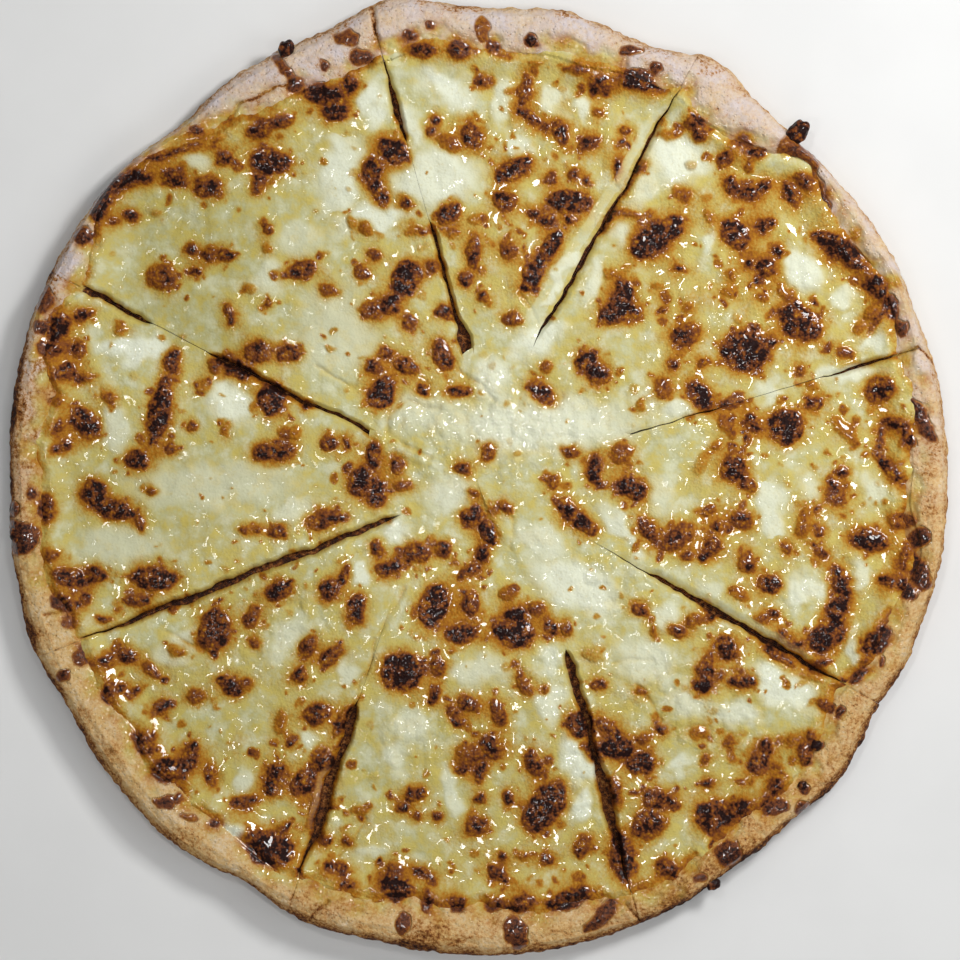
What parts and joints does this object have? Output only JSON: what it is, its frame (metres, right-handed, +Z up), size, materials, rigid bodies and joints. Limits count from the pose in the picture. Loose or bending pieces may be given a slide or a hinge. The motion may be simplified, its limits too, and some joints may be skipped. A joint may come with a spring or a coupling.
{
  "type": "cheese pizza",
  "caption": "Whole round thin-crust cheese pizza, cut into wedge slices that still lie together, with a raised baked rim and browned bubbly cheese.",
  "frame": {"origin": "centre of the round underside, on the surface that the pizza lies on", "axes": "+Z up out of the cheese; +X and +Y across the pizza, to the right and to the top of the picture"},
  "size_m": [0.3043, 0.3106, 0.014],
  "materials": {
    "dough": "baked wheat dough, matte, pale tan with browned edges",
    "cheese": "melted cheese, oily gloss, browned blisters",
    "melted_cheese": "melted cheese, pale and smooth, oily gloss"
  },
  "bodies": {
    "root": {"crust_1": "dough", "crust_2": "dough", "crust_3": "dough", "crust_4": "dough", "crust_5": "dough", "crust_6": "dough", "crust_7": "dough", "crust_8": "dough", "cheese_1": "cheese", "cheese_2": "cheese", "cheese_3": "cheese", "cheese_4": "cheese", "cheese_5": "cheese", "cheese_6": "cheese", "cheese_7": "cheese", "cheese_8": "cheese", "centre_melt": "melted_cheese"}
  },
  "joints": []
}
